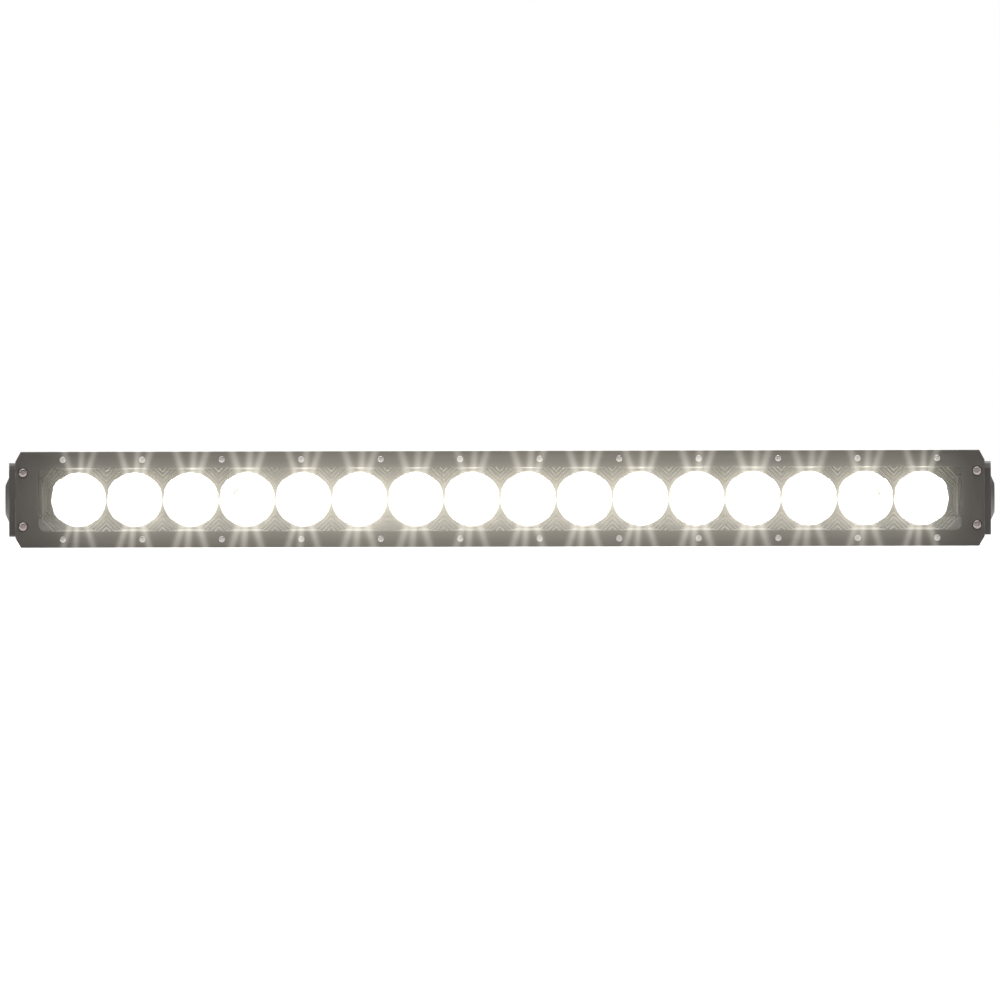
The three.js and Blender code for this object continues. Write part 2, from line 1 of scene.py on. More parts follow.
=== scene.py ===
"""The finished look of a single-row LED light bar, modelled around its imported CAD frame."""

import math

import bmesh
import bpy
from mathutils import Matrix, Vector


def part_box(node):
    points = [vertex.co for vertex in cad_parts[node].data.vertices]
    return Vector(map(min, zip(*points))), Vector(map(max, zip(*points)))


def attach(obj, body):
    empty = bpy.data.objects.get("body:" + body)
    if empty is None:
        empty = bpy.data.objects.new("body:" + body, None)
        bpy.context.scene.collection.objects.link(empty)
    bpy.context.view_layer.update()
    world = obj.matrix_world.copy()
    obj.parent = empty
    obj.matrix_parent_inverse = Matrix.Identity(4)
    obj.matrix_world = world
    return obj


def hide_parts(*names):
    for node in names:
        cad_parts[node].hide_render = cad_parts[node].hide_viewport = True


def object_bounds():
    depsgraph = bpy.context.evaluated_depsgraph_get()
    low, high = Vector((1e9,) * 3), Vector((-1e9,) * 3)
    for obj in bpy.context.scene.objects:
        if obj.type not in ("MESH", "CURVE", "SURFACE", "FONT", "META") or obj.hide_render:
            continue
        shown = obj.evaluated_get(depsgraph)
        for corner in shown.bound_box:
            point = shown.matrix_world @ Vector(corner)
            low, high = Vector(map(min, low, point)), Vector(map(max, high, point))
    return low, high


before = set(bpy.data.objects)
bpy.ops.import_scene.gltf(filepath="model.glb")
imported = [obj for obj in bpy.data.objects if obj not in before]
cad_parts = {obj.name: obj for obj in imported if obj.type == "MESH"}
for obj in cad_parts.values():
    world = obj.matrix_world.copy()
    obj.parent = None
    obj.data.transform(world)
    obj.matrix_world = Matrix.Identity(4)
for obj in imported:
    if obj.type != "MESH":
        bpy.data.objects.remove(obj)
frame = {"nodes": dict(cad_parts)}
CAD_BOX = [list(corner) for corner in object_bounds()]

bl_info = {
    "name": "LED Light Bar",
    "version": (1, 0, 0),
    "blender": (4, 5, 0),
    "location": "View3D > Sidebar > Light Bar",
    "description": "Models and finishes a single-row LED light bar around its CAD frame",
    "category": "Object",
}

MM = 0.001

# ---- Places, worked out from the frame -----------------------------------------------------------
BEZEL_LOW, BEZEL_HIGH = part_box("bezel")
MIDDLE = (BEZEL_LOW + BEZEL_HIGH) / 2
FACE_Y = BEZEL_LOW.y  # the bezel's front
FIRST_LED = sum(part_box("led_01"), Vector()) / 2
LAST_LED = sum(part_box("led_16"), Vector()) / 2
LED_COUNT = sum(name.startswith("led_") and name[4:].isdigit() for name in frame["nodes"])
LED_PITCH = (LAST_LED.x - FIRST_LED.x) / (LED_COUNT - 1)
BOARD_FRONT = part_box("led_board_right")[0].y
SIDES = {"right": 1, "left": -1}

# ---- Sizes that stay as they are -----------------------------------------------------------------
RAIL_SCREW_PITCH, RAIL_SCREWS_IN_ROW = 67.8182 * MM, 12
FIRST_RAIL_SCREW_X = -373 * MM
RAIL_SCREW_ROW_Z = 34 * MM  # a row's distance from the bar's middle
CUPS_IN_FRAME, STEPS_IN_FRAME = 4, 4
FRAME_THICKNESS = 5.4 * MM
CUP_WALL, CUP_RINGS = 1.1 * MM, 18
THROAT_GAP = 0.3 * MM  # between a cup's throat and the LED board
STEP_HALF_HEIGHT, STEP_RISE = 25.2 * MM, 0.6 * MM  # the innermost step's, and what each further one adds
STEP_ACROSS = 25.3 * MM  # the innermost step's, from the middle to a cut corner
STEP_OVERLAP = 0.5 * MM  # how far a step runs past the line between two cups
END_REACH, END_TREAD = 27 * MM, 1.1 * MM  # the innermost step's reach at the row's end, and the next ones'
END_MARGIN = 3 * MM  # a frame that runs further than this past its last cup is at the row's end
DRAFT = 0.5  # a step's wall leans out by this share of its depth
MOUTH_CLEARANCE = 0.1 * MM
PACKAGE_HEIGHT, PACKAGE_BORDER, PACKAGE_RECESS = 0.8 * MM, 0.35 * MM, 0.15 * MM
DOME_SUNK = 0.2 * MM  # into its package
SOCKET_DEPTH = 0.62  # of a screw head's height
TIP_TAPER = 0.85  # of a screw's shank
SCREWS_IN_CAP = 4
RAIL_SCREW_TURN, END_SCREW_TURN, CAP_SCREW_TURN = 37, 23, 31  # degrees from each socket's turn to the next


# ---- What a user may change ----------------------------------------------------------------------
def length(name, description, millimetres):
    return bpy.props.FloatProperty(
        name=name, description=description, default=millimetres * MM, min=0, unit="LENGTH"
    )


def colour(name, description, rgb):
    return bpy.props.FloatVectorProperty(
        name=name, description=description, default=rgb, min=0, max=1, subtype="COLOR"
    )


class LightBarSizes(bpy.types.PropertyGroup):
    """Sizes of the details that the CAD frame leaves out"""

    cast_edge: length("Cast edge", "Rounding along the edges of the cast and machined pieces", 0.6)
    extruded_edge: length("Extruded edge", "Rounding along the edges of the extrusion", 0.35)
    cup_rim: length("Cup rim radius", "Radius of a reflector cup where it meets its frame", 23.6)
    cup_throat: length("Cup throat radius", "Radius of a reflector cup round its LED", 9.4)
    cup_depth: length("Cup depth", "Distance from a cup's rim to its throat", 21.1)
    terrace_step: length("Terrace step", "Depth of each step of the frame round a cup", 1.0)
    terrace_tread: length("Terrace tread", "Distance from one step to the next across the corners", 2.7)
    rail_screw_head: length("Rail screw head radius", "Radius of the bezel's small screw heads", 2.75)
    led_dome: length("LED dome radius", "Radius of the silicone dome over an LED chip", 2.2)


class LightBarColours(bpy.types.PropertyGroup):
    """Colours of the finishes"""

    coat: colour("Coat", "Powder coat on the aluminium", (0.0175, 0.0145, 0.0115))
    bracket: colour("Bracket coat", "Coat on the steel brackets", (0.016, 0.016, 0.016))
    # painted dark reflection: the frame's colour is kept dark for the dark room that its chrome would show
    frame: colour("Reflector frame", "Metallised frame between the cups", (0.075, 0.068, 0.055))
    chrome: colour("Cup", "Metallised inside of the cups", (0.80, 0.80, 0.785))
    light: colour("Light", "Light from the LEDs", (1.0, 0.975, 0.92))


def sizes():
    return bpy.context.scene.light_bar_sizes


def colours():
    return bpy.context.scene.light_bar_colours


# ---- Shader trees --------------------------------------------------------------------------------
class Tree:
    """Adds nodes to a shader tree and wires them together."""

    def __init__(self, tree):
        self.tree = tree

    def add(self, kind, values=None, **settings):
        """A node, with its properties set, and values for or links into its inputs by name."""
        node = self.tree.nodes.new("ShaderNode" + kind)
        for key, value in settings.items():
            setattr(node, key, value)
        for key, value in (values or {}).items():
            if isinstance(value, bpy.types.NodeSocket):
                self.tree.links.new(value, node.inputs[key])
            else:
                node.inputs[key].default_value = value
        return node

    def noise(self, scale, detail=3.0, vector=None, roughness=0.5):
        values = {"Scale": scale, "Detail": detail, "Roughness": roughness}
        if vector is None:
            vector = self.add("TexCoord").outputs["Object"]
        values["Vector"] = vector
        return self.add("TexNoise", values).outputs["Fac"]

    def remap(self, value, low, high, to_low, to_high):
        values = {"Value": value, "From Min": low, "From Max": high, "To Min": to_low, "To Max": to_high}
        return self.add("MapRange", values).outputs["Result"]

    def math(self, operation, first, second=0.5):
        return self.add("Math", {0: first, 1: second}, operation=operation).outputs["Value"]

    def mix(self, share, first, second):
        """A blend of two colours."""
        node = self.add("Mix", data_type="RGBA")
        for socket, value in ((node.inputs[0], share), (node.inputs[6], first), (node.inputs[7], second)):
            if isinstance(value, bpy.types.NodeSocket):
                self.tree.links.new(value, socket)
            elif isinstance(value, (int, float)):
                socket.default_value = value
            else:
                socket.default_value = (*value, 1.0)
        return node.outputs[2]

    def bump(self, height, distance, strength=1.0):
        values = {"Height": height, "Distance": distance, "Strength": strength}
        return self.add("Bump", values).outputs["Normal"]

    def group(self, group, **values):
        """A placed node group, whose inputs' names have spaces for underscores."""
        node = self.tree.nodes.new("ShaderNodeGroup")
        node.node_tree = group
        for key, value in values.items():
            node.inputs[key.replace("_", " ").capitalize()].default_value = value
        return node


def new_group(name, inputs, outputs):
    """An empty shader group with float inputs and outputs, and its two end nodes."""
    group = bpy.data.node_groups.new(name, "ShaderNodeTree")
    for label, default in inputs.items():
        socket = group.interface.new_socket(name=label, in_out="INPUT", socket_type="NodeSocketFloat")
        socket.default_value = default
    for label in outputs:
        group.interface.new_socket(name=label, in_out="OUTPUT", socket_type="NodeSocketFloat")
    tree = Tree(group)
    start = group.nodes.new("NodeGroupInput")
    end = group.nodes.new("NodeGroupOutput")
    return group, tree, start, end


def edge_wear_group():
    """Masks the sharp edges, where handling has rubbed the finish away in patches."""
    group, tree, start, end = new_group(
        "Edge wear", {"Width": 0.0008, "Patch scale": 60.0, "Amount": 0.5}, ["Mask"]
    )
    rounded = tree.add("Bevel", {"Radius": start.outputs["Width"]}, samples=4)
    true_normal = tree.add("NewGeometry").outputs["Normal"]
    alike = tree.add("VectorMath", {0: rounded.outputs["Normal"], 1: true_normal}, operation="DOT_PRODUCT")
    edge = tree.remap(alike.outputs["Value"], 0.995, 0.90, 0.0, 1.0)
    patches = tree.noise(start.outputs["Patch scale"], detail=5.0)
    broken = tree.remap(patches, 0.48, 0.62, 0.0, 1.0)
    scaled = tree.math("MULTIPLY", tree.math("MULTIPLY", edge, broken), start.outputs["Amount"])
    group.links.new(scaled, end.inputs["Mask"])
    return group


def grain_group():
    """A fine grain for bump and a slow drift for colour and roughness."""
    group, tree, start, end = new_group(
        "Grain and drift", {"Grain scale": 1500.0, "Drift scale": 18.0}, ["Grain", "Drift"]
    )
    group.links.new(tree.noise(start.outputs["Grain scale"], detail=2.0), end.inputs["Grain"])
    group.links.new(tree.noise(start.outputs["Drift scale"], detail=4.0), end.inputs["Drift"])
    return group


def dust_group():
    """Masks the faces that look up, where a thin dust settles unevenly."""
    group, tree, start, end = new_group("Settled dust", {"Amount": 0.3}, ["Mask"])
    normal = tree.add("NewGeometry").outputs["Normal"]
    up = tree.add("SeparateXYZ", {"Vector": normal}).outputs["Z"]
    facing = tree.remap(up, 0.3, 1.0, 0.0, 1.0)
    patches = tree.remap(tree.noise(35.0, detail=6.0), 0.35, 0.7, 0.2, 1.0)
    scaled = tree.math("MULTIPLY", tree.math("MULTIPLY", facing, patches), start.outputs["Amount"])
    group.links.new(scaled, end.inputs["Mask"])
    return group


def shared_group(name, maker):
    return bpy.data.node_groups.get(name) or maker()


def new_material(name, metallic=0.0, specular=0.5, coat=0.0):
    """A material with a Principled BSDF, its tree helper and that shader."""
    material = bpy.data.materials.new(name)
    material.use_nodes = True
    shader = material.node_tree.nodes["Principled BSDF"]
    shader.inputs["Metallic"].default_value = metallic
    shader.inputs["Specular IOR Level"].default_value = specular
    shader.inputs["Coat Weight"].default_value = coat
    return material, Tree(material.node_tree), shader


def plug(tree, shader, **sockets):
    """Links outputs into the shader's inputs, whose names have spaces for underscores."""
    for key, output in sockets.items():
        tree.tree.links.new(output, shader.inputs[key.replace("_", " ")])


def drifted(tree, drift, rgb, spread):
    """A colour that gets a little lighter and darker with the drift."""
    dark = [channel * (1 - spread) for channel in rgb]
    light = [min(1.0, channel * (1 + spread)) for channel in rgb]
    return tree.mix(tree.remap(drift, 0.3, 0.7, 0.0, 1.0), dark, light)


def coated(name, rgb, worn_rgb, roughness, grain_depth, wear):
    """Powder coat: an orange-peel grain, worn through along the edges, with a little dust on top."""
    material, tree, shader = new_material(name, specular=0.38)
    grain = tree.group(shared_group("Grain and drift", grain_group), Grain_scale=1300.0, Drift_scale=14.0)
    worn = tree.group(
        shared_group("Edge wear", edge_wear_group), Width=0.0007, Patch_scale=70.0, Amount=wear
    )
    dust = tree.group(shared_group("Settled dust", dust_group), Amount=0.10)
    coat = drifted(tree, grain.outputs["Drift"], rgb, 0.22)
    rubbed = tree.mix(worn.outputs["Mask"], coat, worn_rgb)
    dusty = tree.mix(dust.outputs["Mask"], rubbed, (0.32, 0.29, 0.25))
    rough = tree.remap(grain.outputs["Drift"], 0.3, 0.7, roughness - 0.07, roughness + 0.09)
    plug(
        tree,
        shader,
        Base_Color=dusty,
        Metallic=worn.outputs["Mask"],
        Roughness=rough,
        Normal=tree.bump(grain.outputs["Grain"], grain_depth, 0.7),
    )
    return material


def metal(name, rgb, roughness, spread=0.08, grain_scale=600.0, grain_depth=0.00002):
    """Bare or plated metal, with fine machining grain and uneven roughness."""
    material, tree, shader = new_material(name, metallic=1.0)
    grain = tree.group(
        shared_group("Grain and drift", grain_group), Grain_scale=grain_scale, Drift_scale=45.0
    )
    rough = tree.remap(grain.outputs["Drift"], 0.3, 0.7, roughness * 0.7, roughness * 1.35)
    plug(
        tree,
        shader,
        Base_Color=drifted(tree, grain.outputs["Drift"], rgb, spread),
        Roughness=rough,
        Normal=tree.bump(grain.outputs["Grain"], grain_depth, 0.5),
    )
    return material


def moulded(name, rgb, roughness, grain_scale=900.0, grain_depth=0.00004, dust=0.08):
    """Moulded plastic or rubber with a fine spark-eroded grain."""
    material, tree, shader = new_material(name, specular=0.4)
    grain = tree.group(
        shared_group("Grain and drift", grain_group), Grain_scale=grain_scale, Drift_scale=30.0
    )
    settled = tree.group(shared_group("Settled dust", dust_group), Amount=dust)
    base = drifted(tree, grain.outputs["Drift"], rgb, 0.2)
    plug(
        tree,
        shader,
        Base_Color=tree.mix(settled.outputs["Mask"], base, (0.3, 0.28, 0.25)),
        Roughness=tree.remap(grain.outputs["Drift"], 0.3, 0.7, roughness - 0.08, roughness + 0.08),
        Normal=tree.bump(grain.outputs["Grain"], grain_depth, 0.8),
    )
    return material


def lens_material():
    """Clear hard-coated polycarbonate with faint wiping marks."""
    material, tree, shader = new_material("Clear lens")
    shader.inputs["Base Color"].default_value = (0.985, 0.99, 0.985, 1.0)
    shader.inputs["Transmission Weight"].default_value = 1.0
    shader.inputs["IOR"].default_value = 1.5
    shadow = tree.add("LightPath").outputs["Is Shadow Ray"]
    place = tree.add("TexCoord").outputs["Object"]
    stretch = tree.add("Mapping", {"Scale": (6.0, 1.0, 60.0), "Vector": place})
    wiped = tree.noise(8.0, detail=5.0, vector=stretch.outputs["Vector"])
    plug(
        tree,
        shader,
        Roughness=tree.remap(wiped, 0.45, 0.75, 0.0, 0.035),
        Alpha=tree.math("SUBTRACT", 1.0, shadow),
    )
    return material


def led_material(name, rgb, strength, fleck_scale):
    """A lit surface, a little uneven, as phosphor under its silicone is. It also gives the LED package its
    painted glow, though the package is no lamp itself.
    """
    material, tree, shader = new_material(name)
    fleck = tree.noise(fleck_scale, detail=2.0)
    glow = tree.mix(tree.remap(fleck, 0.3, 0.7, 0.0, 1.0), [0.94 * channel for channel in rgb], rgb)
    shader.inputs["Emission Strength"].default_value = strength
    plug(tree, shader, Base_Color=glow, Emission_Color=glow, Roughness=tree.remap(fleck, 0.3, 0.7, 0.2, 0.4))
    return material


def board_material(name, mask_rgb, trace_rgb, trace_scale):
    """Solder mask over copper, whose traces show as slightly different straight-edged fields."""
    material, tree, shader = new_material(name, specular=0.5)
    place = tree.add("TexCoord").outputs["Object"]
    upright = tree.add("Mapping", {"Vector": place, "Rotation": (math.pi / 2, 0, 0)})
    values = {
        "Vector": upright.outputs["Vector"],
        "Scale": trace_scale,
        "Mortar Size": 0.06,
        "Mortar Smooth": 0.1,
        "Brick Width": 0.8,
        "Row Height": 0.3,
        "Color1": (*mask_rgb, 1.0),
        "Color2": (*[channel * 0.93 for channel in mask_rgb], 1.0),
        "Mortar": (*trace_rgb, 1.0),
    }
    brick = tree.add("TexBrick", values)
    fine = tree.noise(900.0, detail=2.0)
    plug(
        tree,
        shader,
        Base_Color=brick.outputs["Color"],
        Roughness=tree.remap(fine, 0.3, 0.7, 0.35, 0.55),
        Normal=tree.bump(tree.math("ADD", brick.outputs["Fac"], fine), 0.00003, 0.5),
    )
    return material


def frame_with_painted_reflections(rgb):
    """Dark metallised plastic. Its flats are painted dark, a painted dark reflection of the room, and its
    leaning step walls are painted near white, a painted highlight.
    """
    material, tree, shader = new_material("Metallised frame", metallic=1.0)
    grain = tree.group(shared_group("Grain and drift", grain_group), Grain_scale=800.0, Drift_scale=30.0)
    normal = tree.add("NewGeometry").outputs["Normal"]
    facing = tree.math("ABSOLUTE", tree.add("SeparateXYZ", {"Vector": normal}).outputs["Y"])
    # painted highlight: faces that turn away from the camera's axis, the step walls, get a near-white colour
    wall = tree.remap(facing, 0.97, 0.80, 0.0, 1.0)
    # painted dark reflection: the flats keep the dark frame colour, which stands for the dark room in their
    # chrome
    base = drifted(tree, grain.outputs["Drift"], rgb, 0.15)
    plug(
        tree,
        shader,
        Base_Color=tree.mix(wall, base, (0.88, 0.87, 0.82)),
        Roughness=tree.remap(grain.outputs["Drift"], 0.3, 0.7, 0.24, 0.34),
        Normal=tree.bump(grain.outputs["Grain"], 0.000012, 0.4),
    )
    return material


def chrome_material():
    """Vacuum-metallised plastic: a near mirror with the slightest ripple."""
    material, tree, shader = new_material("Metallised cup", metallic=1.0)
    shader.inputs["Base Color"].default_value = (*colours().chrome, 1.0)
    ripple = tree.noise(120.0, detail=2.0)
    haze = tree.noise(25.0, detail=5.0)
    plug(
        tree,
        shader,
        Roughness=tree.remap(haze, 0.35, 0.7, 0.03, 0.10),
        Normal=tree.bump(ripple, 0.00004, 0.25),
    )
    return material


MATERIALS = {
    "coat": lambda: coated(
        "Black powder coat", colours().coat, (0.42, 0.41, 0.40), 0.50, grain_depth=0.00012, wear=0.55
    ),
    "bracket_coat": lambda: coated(
        "Black bracket coat", colours().bracket, (0.3, 0.29, 0.28), 0.42, grain_depth=0.0001, wear=0.8
    ),
    "stainless": lambda: metal("Stainless steel", (0.33, 0.31, 0.30), roughness=0.30),
    "dark_steel": lambda: metal("Blackened steel", (0.24, 0.205, 0.20), roughness=0.26),
    "zinc": lambda: metal(
        "Zinc-plated steel", (0.60, 0.60, 0.57), 0.36, spread=0.16, grain_scale=350.0, grain_depth=0.00003
    ),
    "frame": lambda: frame_with_painted_reflections(colours().frame),
    "chrome": chrome_material,
    "lens": lens_material,
    "silicone": lambda: moulded(
        "Black silicone", (0.022, 0.022, 0.023), 0.72, grain_scale=500.0, grain_depth=0.00005
    ),
    "nylon": lambda: moulded("Black nylon", (0.020, 0.020, 0.021), roughness=0.48),
    "led_board": lambda: board_material(
        "White solder mask", (0.84, 0.84, 0.82), (0.78, 0.78, 0.75), trace_scale=90.0
    ),
    "driver_board": lambda: board_material(
        "Green solder mask", (0.03, 0.17, 0.07), (0.10, 0.30, 0.12), trace_scale=160.0
    ),
    "phosphor": lambda: led_material("Lit LED dome", colours().light, strength=120.0, fleck_scale=900.0),
    # painted glow: the LED package glows at a tenth of the dome's light, standing for the light that its
    # dome throws on it
    "ceramic": lambda: led_material("LED package", colours().light, strength=12.0, fleck_scale=500.0),
    "lead": lambda: moulded("Red lead", (0.35, 0.02, 0.015), roughness=0.45, dust=0.0),
}


def material_for(key):
    """The material of that finish, made the first time that it is asked for."""
    made = bpy.context.scene.get("light_bar_materials", {})
    if key not in made:
        made = dict(made)
        made[key] = MATERIALS[key]().name
        bpy.context.scene["light_bar_materials"] = made
    return bpy.data.materials[made[key]]


# ---- Modelling helpers ---------------------------------------------------------------------------
def deselect_all():
    if bpy.context.mode != "OBJECT":
        bpy.ops.object.mode_set(mode="OBJECT")
    bpy.ops.object.select_all(action="DESELECT")


def activate(piece):
    deselect_all()
    piece.select_set(True)
    bpy.context.view_layer.objects.active = piece


def start(primitive, name, **settings):
    """A new primitive as the active object, under its piece's name, with its place in its mesh."""
    deselect_all()
    getattr(bpy.ops.mesh, f"primitive_{primitive}_add")(**settings)
    piece = bpy.context.active_object
    bpy.ops.object.transform_apply(location=True, rotation=True, scale=True)
    piece.name = name
    piece.data.name = name
    return piece


def select_where(piece, kind, test):
    """In edit mode, selects the vertices, edges or faces that pass a test, and nothing else."""
    bpy.ops.object.mode_set(mode="EDIT")
    bpy.ops.mesh.select_mode(type={"verts": "VERT", "edges": "EDGE", "faces": "FACE"}[kind])
    bpy.ops.mesh.select_all(action="DESELECT")
    shape = bmesh.from_edit_mesh(piece.data)
    found = [element for element in getattr(shape, kind) if test(element)]
    if not found:
        raise RuntimeError(f"{piece.name}: no {kind} pass the test")
    for element in found:
        element.select_set(True)
    shape.select_flush_mode()
    bmesh.update_edit_mesh(piece.data)


def object_mode():
    bpy.ops.object.mode_set(mode="OBJECT")


def apply_modifier(piece, kind, **settings):
    activate(piece)
    modifier = piece.modifiers.new(kind.title(), kind)
    for key, value in settings.items():
        setattr(modifier, key, value)
    bpy.ops.object.modifier_apply(modifier=modifier.name)


def cut_by(piece, cutter):
    """Takes the cutter's solid out of the piece, and deletes the cutter."""
    apply_modifier(piece, "BOOLEAN", object=cutter, operation="DIFFERENCE", solver="EXACT")
    bpy.data.objects.remove(cutter)


def rounded(piece, width, segments=2, angle=35, clamped=False):
    """Rounds every edge sharper than the angle, and keeps the faces between them flat."""
    activate(piece)
    bpy.ops.object.shade_smooth()
    apply_modifier(
        piece,
        "BEVEL",
        width=width,
        segments=segments,
        limit_method="ANGLE",
        angle_limit=math.radians(angle),
        use_clamp_overlap=clamped,
        loop_slide=not clamped,
        miter_outer="MITER_ARC",
        harden_normals=True,
    )


def outward(piece):
    """Makes the faces of a closed piece point outwards."""
    activate(piece)
    bpy.ops.object.mode_set(mode="EDIT")
    bpy.ops.mesh.select_all(action="SELECT")
    bpy.ops.mesh.remove_doubles(threshold=0.000002)
    bpy.ops.mesh.normals_make_consistent(inside=False)
    object_mode()


def copied(piece, name, matrix):
    """A copy with its own mesh, moved by the matrix."""
    mesh = piece.data.copy()
    mesh.transform(matrix)
    if matrix.determinant() < 0:
        mesh.flip_normals()
    twin = bpy.data.objects.new(name, mesh)
    bpy.context.scene.collection.objects.link(twin)
    return twin


def finished(piece, finish, body="bar", replaces=()):
    """Gives a piece its material and the body that it rides on, and hides the nodes that it replaces."""
    piece.data.materials.clear()
    piece.data.materials.append(material_for(finish))
    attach(piece, body)
    if replaces:
        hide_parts(*replaces)
    return piece


def reworked(node, name):
    """A merged copy of a CAD node's mesh, as a new object to be worked on."""
    piece = bpy.data.objects.new(name, frame["nodes"][node].data.copy())
    bpy.context.scene.collection.objects.link(piece)
    activate(piece)
    bpy.ops.object.mode_set(mode="EDIT")
    bpy.ops.mesh.select_all(action="SELECT")
    bpy.ops.mesh.remove_doubles(threshold=0.00001)
    bpy.ops.mesh.dissolve_limited(angle_limit=math.radians(0.5))
    object_mode()
    return piece


def dress(node, finish, edge, body="bar", segments=2, angle=35, clamped=False):
    """The CAD node's shape with rounded edges and its finish, in place of the node."""
    piece = reworked(node, f"{node}_skin")
    rounded(piece, edge, segments, angle, clamped)
    return finished(piece, finish, body, [node])


# ---- Housing, bezel and end caps -----------------------------------------------------------------
class LIGHTBAR_OT_housing(bpy.types.Operator):
    """Model the ribbed housing and the two end caps"""

    bl_idname = "light_bar.housing"
    bl_label = "Housing and end caps"

    def execute(self, context):
        dress("housing", "coat", sizes().extruded_edge)
        for side in SIDES:
            dress(f"end_cap_{side}", "coat", sizes().cast_edge,
                  segments=3, angle=20, clamped=True)
        return {"FINISHED"}


class LIGHTBAR_OT_bezel(bpy.types.Operator):
    """Model the bezel that holds the lens"""

    bl_idname = "light_bar.bezel"
    bl_label = "Bezel"

    def execute(self, context):
        dress("bezel", "coat", sizes().cast_edge, segments=3)
        return {"FINISHED"}


# ---- Optics --------------------------------------------------------------------------------------
def cup_radius(share):
    """The parabola's radius, from 0 at the rim to 1 at the throat."""
    rim, throat = sizes().cup_rim, sizes().cup_throat
    return math.sqrt(rim**2 + (throat**2 - rim**2) * share)


def model_cup():
    """One reflector cup at the bar's middle: a turned parabola with a wall."""
    throat_y = BOARD_FRONT - THROAT_GAP
    rim_y = throat_y - sizes().cup_depth
    piece = start(
        "circle",
        "cup",
        vertices=72,
        radius=cup_radius(1.0),
        location=(0, throat_y, MIDDLE.z),
        rotation=(math.pi / 2, 0, 0),
    )
    bpy.ops.object.mode_set(mode="EDIT")
    bpy.ops.mesh.select_all(action="SELECT")
    here, radius = throat_y, cup_radius(1.0)
    for ring in range(1, CUP_RINGS + 1):
        share = (1 - ring / CUP_RINGS) ** 1.5
        there = rim_y + share * (throat_y - rim_y)
        bpy.ops.mesh.extrude_edges_move(TRANSFORM_OT_translate={"value": (0, there - here, 0)})
        ratio = cup_radius(share) / radius
        bpy.ops.transform.resize(value=(ratio, 1, ratio), center_override=(0, there, MIDDLE.z))
        here, radius = there, cup_radius(share)
    object_mode()
    outward(piece)
    apply_modifier(piece, "SOLIDIFY", thickness=CUP_WALL, offset=-1.0)
    outward(piece)
    activate(piece)
    bpy.ops.object.shade_smooth_by_angle(angle=math.radians(40))
    return piece


def octagon_cutter(x, level, reaches, front, floor):
    """A tapered block with its corners cut off, that cuts one step of the frame round the cup at x."""
    half_z = STEP_HALF_HEIGHT + STEP_RISE * level
    across = (STEP_ACROSS + sizes().terrace_tread * level) * math.sqrt(2)
    low, high = x - reaches[0], x + reaches[1]
    middle = ((low + high) / 2, (front + floor) / 2, MIDDLE.z)
    cutter = start("cube", "cutter", size=1, location=middle, scale=(high - low, floor - front, 2 * half_z))
    for reach, end in zip(reaches, (low, high)):
        select_where(
            cutter,
            "edges",
            lambda edge: all(abs(v.co.x - end) < 1e-6 for v in edge.verts)
            and abs(edge.verts[0].co.y - edge.verts[1].co.y) > 1e-6,
        )
        bpy.ops.mesh.bevel(offset=reach + half_z - across, segments=1, affect="EDGES", clamp_overlap=False)
        object_mode()
    select_where(cutter, "faces", lambda face: face.normal.y < -0.9)
    flare = (floor - front) * DRAFT
    bpy.ops.transform.resize(
        value=(1 + 2 * flare / (high - low), 1, 1 + flare / half_z),
        center_override=(middle[0], front, middle[2]),
    )
    object_mode()
    return cutter


def model_frame(number):
    """The stepped frame of four cups: a plate, octagonal steps that meet in chevrons, and round mouths."""
    node = f"reflector_{number}"
    low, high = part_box(node)
    front, step = low.y, sizes().terrace_step
    back = front + FRAME_THICKNESS
    middle = ((low.x + high.x) / 2, (front + back) / 2, MIDDLE.z)
    plate = start("cube", f"{node}_frame", size=1, location=middle,
                  scale=(high.x - low.x, back - front, high.z - low.z))
    cups = [FIRST_LED.x + LED_PITCH * i for i in range((number - 1) * CUPS_IN_FRAME, number * CUPS_IN_FRAME)]
    for x in cups:
        for level in reversed(range(STEPS_IN_FRAME)):
            reaches = [LED_PITCH / 2 + STEP_OVERLAP] * 2
            for i, (cup, gap) in enumerate(((cups[0], x - low.x), (cups[-1], high.x - x))):
                if x == cup and gap > LED_PITCH / 2 + END_MARGIN:  # the row's own end, where the steps close
                    reaches[i] = END_REACH + END_TREAD * level
            floor = front + step * (STEPS_IN_FRAME - level)
            cut_by(plate, octagon_cutter(x, level, reaches, front - MM, floor))
        mouth = start(
            "cylinder",
            "cutter",
            vertices=72,
            radius=sizes().cup_rim + MOUTH_CLEARANCE,
            depth=20 * MM,
            location=(x, back, MIDDLE.z),
            rotation=(math.pi / 2, 0, 0),
        )
        cut_by(plate, mouth)
    activate(plate)
    bpy.ops.object.mode_set(mode="EDIT")
    bpy.ops.mesh.select_all(action="SELECT")
    bpy.ops.mesh.remove_doubles(threshold=0.000005)
    bpy.ops.mesh.dissolve_limited(angle_limit=math.radians(0.5))
    object_mode()
    return finished(plate, "frame", "bar", [node])


class LIGHTBAR_OT_reflectors(bpy.types.Operator):
    """Model the reflector cups and the stepped frames between them"""

    bl_idname = "light_bar.reflectors"
    bl_label = "Reflectors"

    def execute(self, context):
        for number in range(1, LED_COUNT // CUPS_IN_FRAME + 1):
            model_frame(number)
        cup = model_cup()
        for i in range(LED_COUNT):
            twin = copied(cup, f"cup_{i + 1:02d}", Matrix.Translation((FIRST_LED.x + i * LED_PITCH, 0, 0)))
            finished(twin, "chrome", "bar")
        bpy.data.objects.remove(cup)
        return {"FINISHED"}


